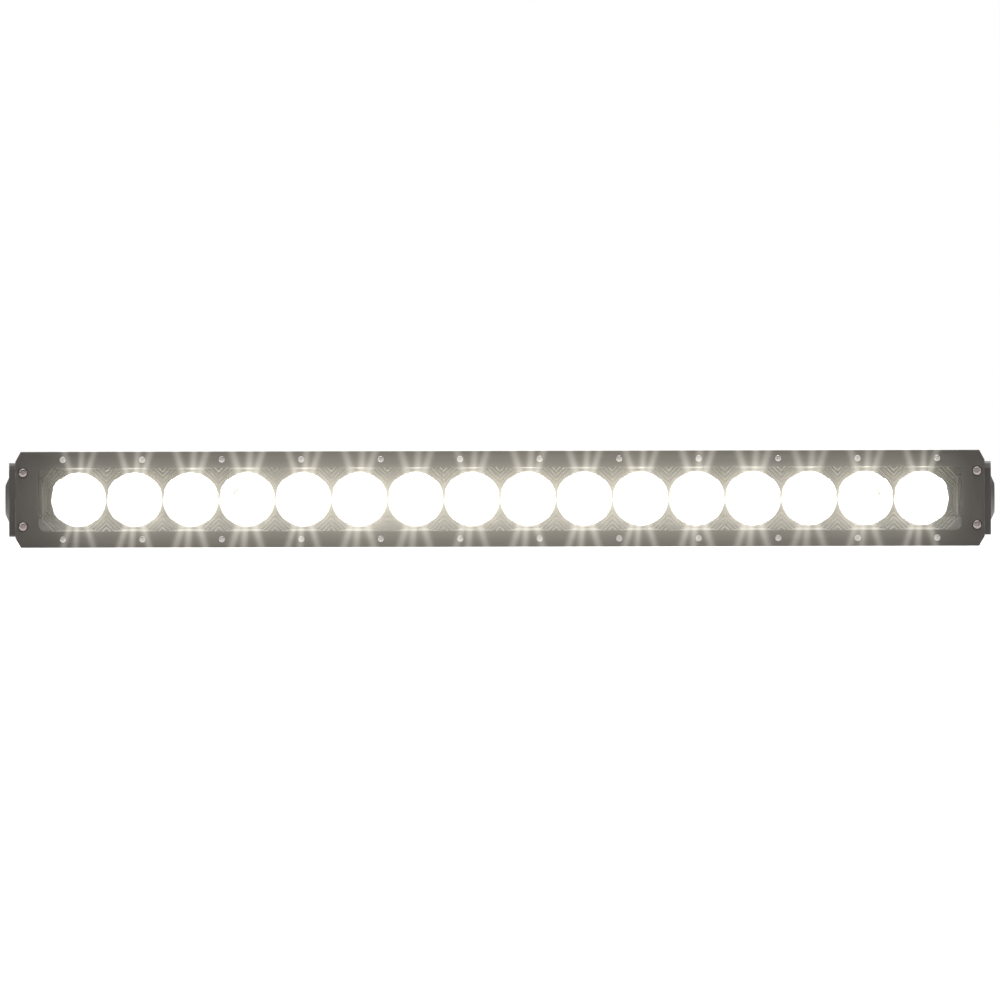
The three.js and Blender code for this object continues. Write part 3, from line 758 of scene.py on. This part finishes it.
def model_led():
    """One LED at the bar's middle: a ceramic package with a raised border and a silicone dome."""
    low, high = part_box("led_01")
    half = (high.x - low.x) / 2
    base_front = high.y - PACKAGE_HEIGHT
    base = start("cube", "led_base", size=1, location=(0, (high.y + base_front) / 2, MIDDLE.z),
                 scale=(2 * half, high.y - base_front, 2 * half))
    select_where(base, "faces", lambda face: face.normal.y < -0.9)
    bpy.ops.mesh.inset(thickness=PACKAGE_BORDER, depth=0)
    bpy.ops.mesh.extrude_region_move(TRANSFORM_OT_translate={"value": (0, PACKAGE_RECESS, 0)})
    object_mode()
    rounded(base, 0.1 * MM)
    dome_front = low.y
    dome = start("uv_sphere", "led_dome", segments=32, ring_count=16, radius=sizes().led_dome,
                 location=(0, base_front, MIDDLE.z))
    bpy.ops.object.mode_set(mode="EDIT")
    bpy.ops.mesh.select_all(action="SELECT")
    bpy.ops.transform.resize(
        value=(1, (base_front - dome_front) / sizes().led_dome, 1), center_override=(0, base_front, MIDDLE.z)
    )
    bpy.ops.mesh.bisect(
        plane_co=(0, base_front + DOME_SUNK, 0), plane_no=(0, 1, 0), clear_outer=True, use_fill=True
    )
    object_mode()
    outward(dome)
    activate(dome)
    bpy.ops.object.shade_smooth_by_angle(angle=math.radians(40))
    return base, dome


class LIGHTBAR_OT_leds(bpy.types.Operator):
    """Model the sixteen lit LEDs"""

    bl_idname = "light_bar.leds"
    bl_label = "LEDs"

    def execute(self, context):
        base, dome = model_led()
        for i in range(LED_COUNT):
            place = Matrix.Translation((FIRST_LED.x + i * LED_PITCH, 0, 0))
            number = f"{i + 1:02d}"
            package = copied(base, f"led_base_{number}", place)
            # the package gets a painted glow; only the dome is a lamp
            finished(package, "ceramic", "bar", [f"led_{number}"])
            finished(copied(dome, f"led_dome_{number}", place), "phosphor", "bar")
        for spare in (base, dome):
            bpy.data.objects.remove(spare)
        return {"FINISHED"}


# ---- Screws --------------------------------------------------------------------------------------
def model_socket_screw(name, head_radius, head_height, shank_radius, shank_length, dome, socket_radius):
    """A screw with a hex socket, its head's underside at the origin and its head towards -Y."""
    head = start("cylinder", name, vertices=40, radius=head_radius, depth=head_height,
                 location=(0, -head_height / 2, 0), rotation=(math.pi / 2, 0, 0))
    select_where(head, "faces", lambda face: face.normal.y < -0.9)
    bpy.ops.mesh.bevel(offset=dome, segments=5, affect="EDGES")
    object_mode()
    select_where(head, "faces", lambda face: face.normal.y > 0.9 and len(face.verts) > 8)
    bpy.ops.mesh.inset(thickness=head_radius - shank_radius)
    bpy.ops.mesh.extrude_region_move(TRANSFORM_OT_translate={"value": (0, shank_length, 0)})
    bpy.ops.transform.resize(value=(TIP_TAPER, 1, TIP_TAPER), center_override=(0, shank_length, 0))
    object_mode()
    socket = start(
        "cylinder",
        "cutter",
        vertices=6,
        radius=socket_radius,
        depth=2 * SOCKET_DEPTH * head_height,
        location=(0, -head_height, 0),
        rotation=(math.pi / 2, 0, 0),
    )
    cut_by(head, socket)
    rounded(head, 0.08 * MM, angle=50)
    return head


def rail_screw_places():
    """The middles of the bezel's rail holes, on its front face."""
    return [
        Vector((FIRST_RAIL_SCREW_X + i * RAIL_SCREW_PITCH, FACE_Y, MIDDLE.z + row * RAIL_SCREW_ROW_Z))
        for row in (1, -1)
        for i in range(RAIL_SCREWS_IN_ROW)
    ]


class LIGHTBAR_OT_screws(bpy.types.Operator):
    """Model the bezel's rail screws, the bezel's end screws and the end caps' screws"""

    bl_idname = "light_bar.screws"
    bl_label = "Screws"

    def execute(self, context):
        self.rail_screws()
        self.bezel_end_screws()
        self.cap_screws()
        return {"FINISHED"}

    def rail_screws(self):
        """The small screws along the bezel's rails, whose heads stand out of shallow recesses."""
        head_height, head_out = 1.3 * MM, 0.85 * MM
        screw = model_socket_screw(
            "rail_screw",
            head_radius=sizes().rail_screw_head,
            head_height=head_height,
            shank_radius=1.15 * MM,
            shank_length=12 * MM,
            dome=0.7 * MM,
            socket_radius=1.0 * MM,
        )
        for i, place in enumerate(rail_screw_places()):
            turn = Matrix.Rotation(math.radians(RAIL_SCREW_TURN * i), 4, "Y")
            seat = Matrix.Translation(place + Vector((0, head_height - head_out, 0)))
            finished(copied(screw, f"rail_screw_{i + 1:02d}", seat @ turn), "stainless", "bar")
        bpy.data.objects.remove(screw)

    def bezel_end_screws(self):
        """The four larger, darker screws at the bezel's corners."""
        low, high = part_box("bezel_end_screw_top_right")
        seat_y = FACE_Y + 1.2 * MM
        screw = model_socket_screw(
            "end_screw",
            head_radius=(high.x - low.x) / 2,
            head_height=seat_y - low.y,
            shank_radius=1.9 * MM,
            shank_length=high.y - seat_y,
            dome=1.3 * MM,
            socket_radius=1.45 * MM,
        )
        for i, (side, row) in enumerate((s, r) for s in SIDES for r in ("top", "bottom")):
            node = f"bezel_end_screw_{row}_{side}"
            low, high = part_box(node)
            turn = Matrix.Rotation(math.radians(END_SCREW_TURN * i + 11), 4, "Y")
            seat = Matrix.Translation(((low.x + high.x) / 2, seat_y, (low.z + high.z) / 2))
            finished(copied(screw, f"{node}_skin", seat @ turn), "dark_steel", "bar", [node])
        bpy.data.objects.remove(screw)

    def cap_screws(self):
        """The four screws through each end cap."""
        low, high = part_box("cap_screw_1_right")
        head_height = 3.7 * MM
        screw = model_socket_screw(
            "cap_screw",
            head_radius=(high.y - low.y) / 2,
            head_height=head_height,
            shank_radius=1.9 * MM,
            shank_length=high.x - head_height - low.x,
            dome=0.5 * MM,
            socket_radius=1.75 * MM,
        )
        for side, sign in SIDES.items():
            for i in range(1, SCREWS_IN_CAP + 1):
                node = f"cap_screw_{i}_{side}"
                low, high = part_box(node)
                tip = high.x if sign > 0 else low.x
                seat = Vector((tip - sign * head_height, (low.y + high.y) / 2, (low.z + high.z) / 2))
                turn = Matrix.Rotation(math.radians(CAP_SCREW_TURN * i), 4, "Y")
                place = Matrix.Translation(seat) @ Matrix.Rotation(sign * math.pi / 2, 4, "Z") @ turn
                finished(copied(screw, f"{node}_skin", place), "stainless", "bar", [node])
        bpy.data.objects.remove(screw)


# ---- Gland, vent, seals and boards ---------------------------------------------------------------
class LIGHTBAR_OT_fittings(bpy.types.Operator):
    """Model the cable gland and the vent, and finish the seals, boards and lens"""

    bl_idname = "light_bar.fittings"
    bl_label = "Gland, vent, seals and boards"

    def execute(self, context):
        for node in ("gland_body", "gland_nut", "vent"):
            dress(node, "nylon", 0.35 * MM)
        kept = {
            "lens": "lens",
            "lens_gasket": "silicone",
            "gland_seal": "silicone",
            "driver_board": "driver_board",
            "board_lead": "lead",
        }
        for side in SIDES:
            kept[f"end_gasket_{side}"] = "silicone"
            kept[f"led_board_{side}"] = "led_board"
        for node, finish in kept.items():
            mesh = frame["nodes"][node].data
            mesh.materials.clear()
            mesh.materials.append(material_for(finish))
        return {"FINISHED"}


# ---- Brackets ------------------------------------------------------------------------------------
class LIGHTBAR_OT_brackets(bpy.types.Operator):
    """Model the two sliding saddles, their clamps and their tilting feet"""

    bl_idname = "light_bar.brackets"
    bl_label = "Mounting brackets"

    def execute(self, context):
        for side in SIDES:
            slider, foot = f"{side}_slider", f"{side}_foot"
            dress(f"saddle_{side}", "bracket_coat", 0.5 * MM, slider)
            dress(f"foot_{side}", "bracket_coat", 0.5 * MM, foot)
            dress(f"t_bolt_{side}", "zinc", 0.3 * MM, slider)
            dress(f"clamp_nut_{side}", "zinc", 0.3 * MM, slider)
            dress(f"pivot_bolt_{side}", "stainless", 0.3 * MM, slider)
            dress(f"pivot_nut_{side}", "stainless", 0.3 * MM, slider)
        return {"FINISHED"}


# ---- Stage ---------------------------------------------------------------------------------------
LIT = 2.5  # brighter than anything but the cups
RAY_ANGLES = (72, 86, 107)  # degrees from level
CORE_GROW, CORE_SHRINK = 9, 33  # closes the gaps in a lit cup's disc, then leaves only its core
CORE_LIGHT = 8.0
FOG_STRENGTH = 0.5
WARM = (1.0, 0.955, 0.86, 1.0)  # the tint of the glow
FLOOR_SIZE, FLOOR_DROP = 80, 0.5 * MM  # metres across, and how far under the object it lies
SOFTBOXES = {  # place, width, height and watts
    "overhead": ((0, -0.3, 2.4), 3.2, 2.0, 50),
    "front_left": ((-2.2, -2.4, 1.5), 1.4, 1.4, 40),
    "front_right": ((2.4, -2.2, 1.2), 1.2, 1.4, 30),
    "back": ((0.4, 2.6, 1.6), 2.4, 1.2, 45),
}
SKY_STRENGTH, SKY_ANGLE = 3.2, 60
SKY_TILT = (8, -6, 0)  # degrees
LENS_LENGTH, SENSOR_WIDTH = 1000, 36  # so long a lens that the front is seen almost without perspective
FILLED_WIDTH = 0.9905  # the object's share of the frame's width
CAMERA_DROP, CAMERA_ROLL = 1.0 * MM, 0.13


def studio_world():
    """White all round where the camera looks, and dimmer where the object's metal looks."""
    world = bpy.data.worlds.new("Studio")
    bpy.context.scene.world = world
    world.use_nodes = True
    tree = Tree(world.node_tree)
    output = world.node_tree.nodes["World Output"]
    seen = world.node_tree.nodes["Background"]
    seen.inputs["Color"].default_value = (1, 1, 1, 1)
    seen.inputs["Strength"].default_value = 1.0
    lighting = tree.add("Background", {"Color": (0.93, 0.96, 1.0, 1), "Strength": 0.28})
    path = tree.add("LightPath")
    mixed = tree.add(
        "MixShader", {0: path.outputs["Is Camera Ray"], 1: lighting.outputs[0], 2: seen.outputs[0]}
    )
    world.node_tree.links.new(mixed.outputs[0], output.inputs["Surface"])


def softbox(name, place, aim, width, height, watts):
    light = bpy.data.lights.new(name, "AREA")
    light.shape, light.size, light.size_y, light.energy = "RECTANGLE", width, height, watts
    lamp = bpy.data.objects.new(name, light)
    lamp.location = place
    lamp.rotation_mode = "QUATERNION"
    lamp.rotation_quaternion = (Vector(aim) - Vector(place)).to_track_quat("-Z", "Y")
    bpy.context.scene.collection.objects.link(lamp)


def lens_glow(scene):
    """The camera's own glow over the lit cups, and the rays from their cores."""
    scene.use_nodes = True
    nodes, links = scene.node_tree.nodes, scene.node_tree.links
    nodes.clear()

    def add(kind, source, settings=None, socket=0, **properties):
        node = nodes.new("CompositorNode" + kind)
        for key, value in properties.items():
            setattr(node, key, value)
        for key, value in (settings or {}).items():
            node.inputs[key].default_value = value
        links.new(source, node.inputs[socket])
        return node

    def added(first, second):
        node = add("MixRGB", first, {"Fac": 1.0}, socket=1, blend_type="ADD")
        links.new(second, node.inputs[2])
        return node.outputs["Image"]

    picture = nodes.new("CompositorNodeRLayers").outputs["Image"]
    grey = add("RGBToBW", picture).outputs["Val"]
    lit = add("Math", grey, {1: LIT}, operation="GREATER_THAN").outputs["Value"]
    filled = add("DilateErode", lit, {"Size": CORE_GROW}, mode="DISTANCE").outputs["Mask"]
    core = add("DilateErode", filled, {"Size": -CORE_SHRINK}, mode="DISTANCE").outputs["Mask"]
    bright = add("Math", core, {1: CORE_LIGHT}, operation="MULTIPLY").outputs["Value"]
    values = {"Threshold": LIT, "Strength": FOG_STRENGTH, "Size": 1.0, "Tint": WARM}
    fog = add("Glare", picture, values, glare_type="FOG_GLOW")
    result = added(picture, fog.outputs["Glare"])
    for angle in RAY_ANGLES:
        values = {"Threshold": 0.0, "Strength": 1.0, "Streaks": 2, "Streaks Angle": math.radians(angle),
                  "Iterations": 4, "Fade": 0.95, "Color Modulation": 0.0, "Tint": WARM}
        result = added(result, add("Glare", bright, values, glare_type="STREAKS").outputs["Glare"])
    links.new(result, nodes.new("CompositorNodeComposite").inputs["Image"])


def place_camera(scene):
    """A camera square on to the front, far enough back for the bar to fill the frame's width."""
    camera = bpy.data.cameras.new("camera")
    camera.lens, camera.sensor_width, camera.clip_end = LENS_LENGTH, SENSOR_WIDTH, 200
    holder = bpy.data.objects.new("camera", camera)
    low, high = (Vector(corner) for corner in CAD_BOX)
    distance = (high.x - low.x) / FILLED_WIDTH * LENS_LENGTH / SENSOR_WIDTH
    holder.location = (0, FACE_Y - distance, MIDDLE.z - CAMERA_DROP)
    holder.rotation_euler = (math.pi / 2, math.radians(CAMERA_ROLL), 0)
    scene.collection.objects.link(holder)
    scene.camera = holder


class LIGHTBAR_OT_stage(bpy.types.Operator):
    """Set up the floor, the studio light and the camera"""

    bl_idname = "light_bar.stage"
    bl_label = "Stage"

    def execute(self, context):
        floor = start("plane", "floor", size=FLOOR_SIZE, location=(0, 0, -FLOOR_DROP))
        material, tree, shader = new_material("Pale floor", specular=0.1)
        tone = tree.mix(tree.noise(3.0, detail=3.0), (0.90, 0.90, 0.90), (0.93, 0.93, 0.93))
        plug(tree, shader, Base_Color=tone)
        shader.inputs["Roughness"].default_value = 0.9
        floor.data.materials.append(material)
        studio_world()
        for name, (place, width, height, watts) in SOFTBOXES.items():
            softbox(name, place, tuple(MIDDLE), width, height, watts)
        sky = bpy.data.lights.new("sky", "SUN")
        sky.energy, sky.angle = SKY_STRENGTH, math.radians(SKY_ANGLE)
        holder = bpy.data.objects.new("sky", sky)
        holder.rotation_euler = [math.radians(turn) for turn in SKY_TILT]
        bpy.context.scene.collection.objects.link(holder)
        place_camera(context.scene)
        context.scene.view_settings.view_transform = "Standard"
        lens_glow(context.scene)
        return {"FINISHED"}


class LIGHTBAR_PT_panel(bpy.types.Panel):
    """Lists the steps that build the light bar"""

    bl_idname = "LIGHTBAR_PT_panel"
    bl_label = "Light Bar"
    bl_space_type = "VIEW_3D"
    bl_region_type = "UI"
    bl_category = "Light Bar"

    def draw(self, context):
        for group in (context.scene.light_bar_sizes, context.scene.light_bar_colours):
            column = self.layout.column()
            for key in group.bl_rna.properties.keys():
                if key not in ("rna_type", "name"):
                    column.prop(group, key)
        for step in STEPS:
            self.layout.operator(step.bl_idname)


STEPS = (
    LIGHTBAR_OT_housing,
    LIGHTBAR_OT_bezel,
    LIGHTBAR_OT_reflectors,
    LIGHTBAR_OT_leds,
    LIGHTBAR_OT_screws,
    LIGHTBAR_OT_fittings,
    LIGHTBAR_OT_brackets,
    LIGHTBAR_OT_stage,
)
CLASSES = (LightBarSizes, LightBarColours, *STEPS, LIGHTBAR_PT_panel)


def register():
    for made in CLASSES:
        bpy.utils.register_class(made)
    bpy.types.Scene.light_bar_sizes = bpy.props.PointerProperty(type=LightBarSizes)
    bpy.types.Scene.light_bar_colours = bpy.props.PointerProperty(type=LightBarColours)


def unregister():
    del bpy.types.Scene.light_bar_colours
    del bpy.types.Scene.light_bar_sizes
    for made in reversed(CLASSES):
        bpy.utils.unregister_class(made)


def main():
    """Builds the light bar and its stage."""
    register()
    for step in STEPS:
        group, name = step.bl_idname.split(".")
        getattr(getattr(bpy.ops, group), name)()
    deselect_all()


if __name__ == "__main__":
    main()
